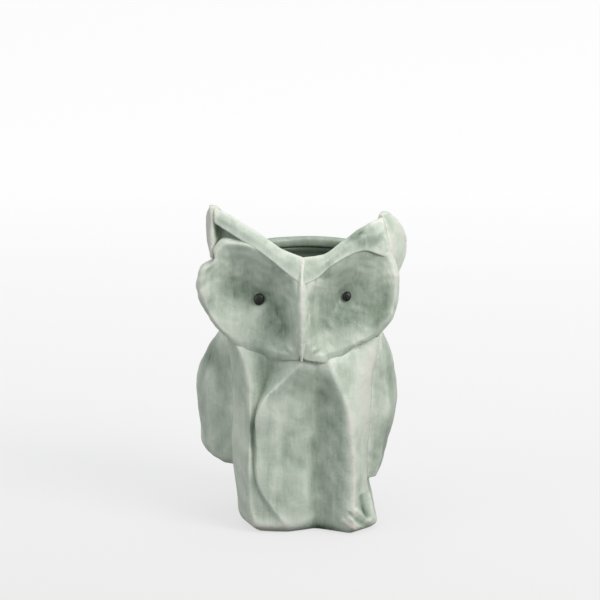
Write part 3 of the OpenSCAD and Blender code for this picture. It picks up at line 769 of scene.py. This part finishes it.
rightFace = dict(
    rim=[[1, -42, 136], [12, -39, 138.5], [21, -35, 144.5], [29.5, -31, 147.5], [36, -28, 146],
         [41.5, -27, 142], [44.8, -26, 136.2], [47.2, -26, 128], [46.9, -26, 116.8], [44.6, -28.5, 107.5],
         [37.6, -31, 99], [25, -35, 93.8], [12, -42.5, 89.2], [0.5, -45, 88.7], [0, -48, 104], [0, -46.5, 121]],
    crest=[[4.7, -45.2, 127], [12, -42, 134], [21.7, -38, 140.5], [28.9, -34, 142.8], [35, -31, 141.8],
           [39.5, -29, 138.5], [42.3, -28, 134], [44.5, -29.5, 127], [44.2, -30, 117.5], [42, -31.2, 109],
           [35.5, -33, 102], [24, -37, 96.8], [12, -42.5, 92.5], [4, -45.6, 94], [1.5, -47.7, 105], [1.9, -46.5, 120]],
    valley=[[38.5, -28.4, 120], [30, -29, 121], [21.6, -30.4, 118.5], [17, -33.2, 111], [13.8, -35.8, 104.6]],
)
bowlCut = dict(
    bowlRows=84, rimRows=8, wallRows=18, backRows=14, perStation=15, valleyStation=12,
    cornerRounding=14, edgeRounding=7, edgeBand=7, lowRounding=30, lowBand=34,
    maskBack=-20.0, slip=0.6, crestOut=0.4, middleKept=6.0, valleyWidth=6.0, liftPower=6,
    lowRim=(0, 1.2, -2.6), lowCrest=(0, 1.7, -0.4), lowSlope=1.6, lowRamp=9.0, beakKept=3.0, beakRamp=15.0,
    lidFrom=-4.0, lidRamp=12.0, arcHeight=0.05, arcs=5.0, socketDepth=0.8, socketSize=5.0,
    lumpSize=11.0, lumpHeight=0.20, cheekFrom=42.0, cheekRamp=6.0, cheekLumpSize=6.5,
    edgeShare=0.75, quietReach=36.0, quiet=0.85, poolAndShadeShare=0.16, poolLow=0.2, poolHigh=0.80,
    lowReach=dict(left=38.0, right=26.0), hem=dict(left=9.0, right=6.0), cheekLumps=dict(left=0.38, right=0.1),
)


def nearLine(points, line, power):
    # For each point: its distance to a line of points, as the fifth root of a sum of sixth powers so that it has
    # no creases at the line's corners, and the line's depth there, weighted by a high power of nearness.
    gap = np.linalg.norm(points[:, None, :] - line[None, :, [0, 2]], axis=2)
    weight = 1 / (gap + 1.2) ** power
    spacing = np.linalg.norm(np.gradient(line[:, [0, 2]], axis=0), axis=1)
    distance = (1.178 / (spacing / (gap + 0.05) ** 6).sum(1)) ** 0.2
    return distance, (weight * line[:, 1]).sum(1) / weight.sum(1)


def bowlDepth(flat, crest, valley, eye, cut):
    # Depth goes from the valley's to the crest's as distance from the valley, rounded off near it, grows against
    # distance from the crest. A finger's arcs lie above the eye, and a shallow socket round it.
    toCrest, crestY = nearLine(flat, crest, 6)
    toValley, valleyY = nearLine(flat, valley, 5)
    toValley = np.sqrt(toValley ** 2 + cut["valleyWidth"] ** 2) - cut["valleyWidth"]
    share = toValley / (toValley + toCrest + 1e-6)
    y = valleyY + (crestY - valleyY) * share
    lid = np.clip((flat[:, 1] - eye[1] - cut["lidFrom"]) / cut["lidRamp"], 0, 1)
    y += cut["arcHeight"] * np.sin(2 * math.pi * cut["arcs"] * share) * lid * share
    fromEye = np.linalg.norm(flat - eye, axis=1)
    return y + cut["socketDepth"] * np.exp(-(fromEye / cut["socketSize"]) ** 2), share, lid


def behindMask(x, cut):
    # Depth of the mask's back: on the pot's round wall in the middle, and flat further out.
    wall = headRadius + cut["slip"]
    onPot = -np.sqrt(np.maximum(wall ** 2 - x ** 2, 1))
    return np.minimum(np.where(abs(x) < wall * 0.8, onPot, cut["maskBack"]), cut["maskBack"])


def evenRows(count, ends):
    # Shares from 0 to 1 for that many rows, without the ends that other rows already hold.
    return np.linspace(0, 1, count + 1)[ends][:, None, None]


def eyeBowl(name, node, face, eyeNode, cut, side, hand):
    # Rows run from the eye out over the bowl, the crest and the rim, back along the side wall and in again over
    # the back. The low side, above the belly, is lower, rounder and smeared down.
    eyeLow, eyeHigh = [np.array(corner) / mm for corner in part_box(eyeNode)]
    eye = ((eyeLow + eyeHigh) / 2)[[0, 2]]
    rim, crest = [soften(spacedBetween(np.array(face[k] + face[k][:1]), [cut["perStation"]] * len(face[k]))[:-1],
                         cut["cornerRounding"], 0, True) for k in ("rim", "crest")]
    out = np.array([1, 0.5, 1]) * cut["crestOut"] * (abs(crest[:, :1]) > cut["middleKept"])
    crest = crest + (rim - crest) * out
    away = rim[:, [0, 2]] - eye
    away /= np.linalg.norm(away, axis=1, keepdims=True)
    fromMiddle = abs(rim[:, :1])
    downward = np.clip(-away[:, 1:] * cut["lowSlope"], 0, 1)
    lowSide = downward * (np.clip((cut["lowReach"][hand] - fromMiddle) / cut["lowRamp"], 0, 1)
                          * np.clip((fromMiddle - cut["beakKept"]) / cut["beakRamp"], 0, 1))
    rim = rim + lowSide * cut["lowRim"]
    crest = crest + lowSide * cut["lowCrest"]
    valley = spacedBetween(np.array(face["valley"]), [cut["valleyStation"]] * (len(face["valley"]) - 1))
    cols, bowlRows = len(crest), cut["bowlRows"]

    # the bowl, and its last row lifted on to the crest
    t = evenRows(bowlRows, slice(1, None))
    flat = eye + (crest[None, :, [0, 2]] - eye) * t
    y, share, lid = bowlDepth(flat.reshape(-1, 2), crest, valley, eye, cut)
    bowl = np.stack([flat[..., 0], y.reshape(flat.shape[:2]), flat[..., 1]], -1)
    crestRow = bowl[-1].copy()
    crestRow[:, 1] = crest[:, 1]
    bowl[..., 1] += (crestRow[:, 1] - bowl[-1][:, 1]) * t[..., 0] ** cut["liftPower"]

    # rim, side wall with the hem on its low side, and back
    rimRows = crestRow + (rim - crestRow) * evenRows(cut["rimRows"], slice(1, None))
    backRim = np.stack([rim[:, 0], behindMask(rim[:, 0], cut), rim[:, 2]], 1)
    wallRows = rim + (backRim - rim) * evenRows(cut["wallRows"], slice(1, None)) ** 1.5
    hem = cut["hem"][hand] * lowSide * (0, -1)
    wallRows[..., [0, 2]] += hem * np.clip((wallRows[..., 1] - rim[:, 1]) / 4, 0, 1)[..., None]
    backFlat = eye + (rim[None, :, [0, 2]] - eye) * evenRows(cut["backRows"], slice(1, -1))[::-1]
    backGrid = np.stack([backFlat[..., 0], behindMask(backFlat[..., 0], cut), backFlat[..., 1]], -1)
    grid = np.concatenate([bowl, rimRows, wallRows, backGrid])

    # round the crest and the rim, more on the low side, but leave the bowl's own lines
    wallEnd = bowlRows + cut["rimRows"] + cut["wallRows"] + 2
    band = slice(bowlRows - cut["edgeBand"], wallEnd)
    grid[band] = soften(grid[band], cut["edgeRounding"], 0, False)
    band = slice(bowlRows - cut["lowBand"], wallEnd)
    grid[band] += (soften(grid[band], cut["lowRounding"], 0, False) - grid[band]) * lowSide[None]

    # lumps, stronger on the cheek, and none on the back
    push = cut["lumpHeight"] * (lumps(grid, cut["lumpSize"], 51) + 0.4 * lumps(grid, 4.5, 52))
    cheek = np.clip((np.abs(grid[..., 0]) - cut["cheekFrom"]) / cut["cheekRamp"], 0, 1)
    push += cut["cheekLumps"][hand] * cheek * lumps(grid, cut["cheekLumpSize"], 60)
    front = np.concatenate([np.ones(bowlRows + cut["rimRows"]), np.linspace(1, 0, cut["wallRows"]),
                            np.zeros(cut["backRows"] - 1)])
    grid = grid + gridNormals(grid, True) * side * (push * front[:, None])[..., None]

    # the left bowl's columns run the other way round, so side also turns them
    grid = grid[:, ::side]
    edge, poolAndShade = glazeMarks(grid, gridNormals(grid, True), True, 2, 12)
    quiet = downward[:, 0] * np.clip((cut["quietReach"] - fromMiddle[:, 0]) / cut["lowRamp"], 0, 1)
    edge = 0.5 + cut["edgeShare"] * (edge - 0.5) * (1 - cut["quiet"] * quiet[::side])
    # painted shade: the bowl darkens towards its valley, more on the lid above the eye, which faces down, partly also
    # glaze pooled in the bowl's depth
    depth = 1 - share.reshape(bowlRows, cols)[:, ::side]
    shade = lid.reshape(bowlRows, cols)[:, ::side]
    poolAndShade[:bowlRows] += cut["poolAndShadeShare"] * depth ** 2 * (0.6 + 0.4 * shade)
    tubePiece(name, node, grid, edge, np.clip(poolAndShade, cut["poolLow"], cut["poolHigh"]))


eyeBowl("leftBowl", "left_bowl", leftFace, "left_eye", bowlCut, -1, "left")
eyeBowl("rightBowl", "right_bowl", rightFace, "right_eye", bowlCut, 1, "right")
print("face ready")


# studio: floor sweep, camera and lights

studio = dict(
    floorColour=(0.16, 0.16, 0.16), floorRoughness=0.85, glowFrom=-0.2, glowFront=0.62, glowBack=0.82,
    sweepFront=-2.5, sweepBack=0.9, sweepRadius=0.5, sweepHalf=3.0, wallTop=3.0,
    world=(0.97, 1.0, 0.99), skyFrom=-0.8, skyTo=0.9, skyLow=0.10, skyHigh=0.80,
)
view = dict(azimuth=3.0, elevation=12.5, distance=1.5, right=-3.0, up=107.1, across=299.252, nearer=30.0)
# place, disk's width, watts and colour
lights = dict(
    key=((0.95, -0.70, 0.85), 0.8, 14.0, (1, 0.99, 0.965)),
    fill=((-1.2, -0.75, 0.4), 1.0, 4.6, (0.98, 1, 0.99)),
    top=((0.05, 0.1, 1.3), 0.7, 1.5, (1, 1, 1)),
)
lightAim = (0, 0, 0.09)


def floorSweep(look):
    # A profile that runs flat under the owl, bends up behind it on a quarter circle and goes on as a wall,
    # carried sideways. It glows by itself, more towards the back.
    bend = np.linspace(0, math.pi / 2, 24)
    back, radius = look["sweepBack"], look["sweepRadius"]
    profile = [(look["sweepFront"], 0)]
    profile += [(back + radius * math.sin(a), radius - radius * math.cos(a)) for a in bend]
    profile += [(back + radius, look["wallTop"])]
    points = [(x, y, z) for y, z in profile for x in (-look["sweepHalf"], look["sweepHalf"])]
    mesh = bpy.data.meshes.new("floorSweep")
    mesh.from_pydata(points, [], [(2*i, 2*i + 1, 2*i + 3, 2*i + 2) for i in range(len(profile) - 1)])
    mesh.polygons.foreach_set("use_smooth", [True] * len(mesh.polygons))
    material, shader, add, link = shaderNodes("floorPaper")
    shader.inputs["Base Color"].default_value = (*look["floorColour"], 1)
    shader.inputs["Roughness"].default_value = look["floorRoughness"]
    shader.inputs["Emission Color"].default_value = (1, 1, 1, 1)
    place = add("ShaderNodeTexCoord")
    split = add("ShaderNodeSeparateXYZ")
    glow = add("ShaderNodeMapRange", _From_Min=look["glowFrom"], _From_Max=back,
               _To_Min=look["glowFront"], _To_Max=look["glowBack"])
    link(place.outputs["Object"], split.inputs[0])
    link(split.outputs["Y"], glow.inputs["Value"])
    link(glow.outputs["Result"], shader.inputs["Emission Strength"])
    mesh.materials.append(material)
    sweep = bpy.data.objects.new("floorSweep", mesh)
    bpy.context.scene.collection.objects.link(sweep)
    sweep.visible_diffuse = False      # the paper's bounce would wash the undersides out
    sweep.visible_glossy = False
    sweep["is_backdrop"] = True


def aimedAt(obj, place, target):
    obj.location = place
    obj.rotation_mode = "QUATERNION"
    obj.rotation_quaternion = (Vector(target) - Vector(place)).to_track_quat("-Z", "Y")


def camera(view):
    # The aim lies right and up of the base's middle, across the line of sight. The lens takes in the view's width
    # at a plane that much nearer than the aim.
    a, e = math.radians(view["azimuth"]), math.radians(view["elevation"])
    right = Vector((math.cos(a), math.sin(a), 0))
    up = Vector((-math.sin(a) * math.sin(e), math.cos(a) * math.sin(e), math.cos(e)))
    back = Vector((math.sin(a) * math.cos(e), -math.cos(a) * math.cos(e), math.sin(e)))
    aim = right * view["right"] * mm + up * view["up"] * mm
    data = bpy.data.cameras.new("camera")
    data.sensor_width = 36.0
    data.lens = (view["distance"] / mm - view["nearer"]) / view["across"] * data.sensor_width
    data.clip_end = 20
    cam = bpy.data.objects.new("camera", data)
    bpy.context.scene.collection.objects.link(cam)
    aimedAt(cam, aim + back * view["distance"], aim)
    bpy.context.scene.camera = cam


def softLight(name, place, size, power, colour):
    data = bpy.data.lights.new(name, "AREA")
    data.shape, data.size, data.energy, data.color = "DISK", size, power, colour
    light = bpy.data.objects.new(name, data)
    bpy.context.scene.collection.objects.link(light)
    aimedAt(light, place, lightAim)


def skyGradient(look):
    # The world's strength grows evenly from below to above.
    world = bpy.data.worlds.new("world")
    world.use_nodes = True
    nodes, link = world.node_tree.nodes, world.node_tree.links.new
    sky = nodes["Background"]
    sky.inputs["Color"].default_value = (*look["world"], 1)
    place = nodes.new("ShaderNodeTexCoord")
    split = nodes.new("ShaderNodeSeparateXYZ")
    height = nodes.new("ShaderNodeMapRange")
    for socket, key in (("From Min", "skyFrom"), ("From Max", "skyTo"),
                        ("To Min", "skyLow"), ("To Max", "skyHigh")):
        height.inputs[socket].default_value = look[key]
    link(place.outputs["Generated"], split.inputs[0])
    link(split.outputs["Z"], height.inputs["Value"])
    link(height.outputs["Result"], sky.inputs["Strength"])
    return world


floorSweep(studio)
camera(view)
for name, values in lights.items():
    softLight(name, *values)
bpy.context.scene.world = skyGradient(studio)
bpy.context.scene.view_settings.view_transform = "Standard"
print("studio ready")

low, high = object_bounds()
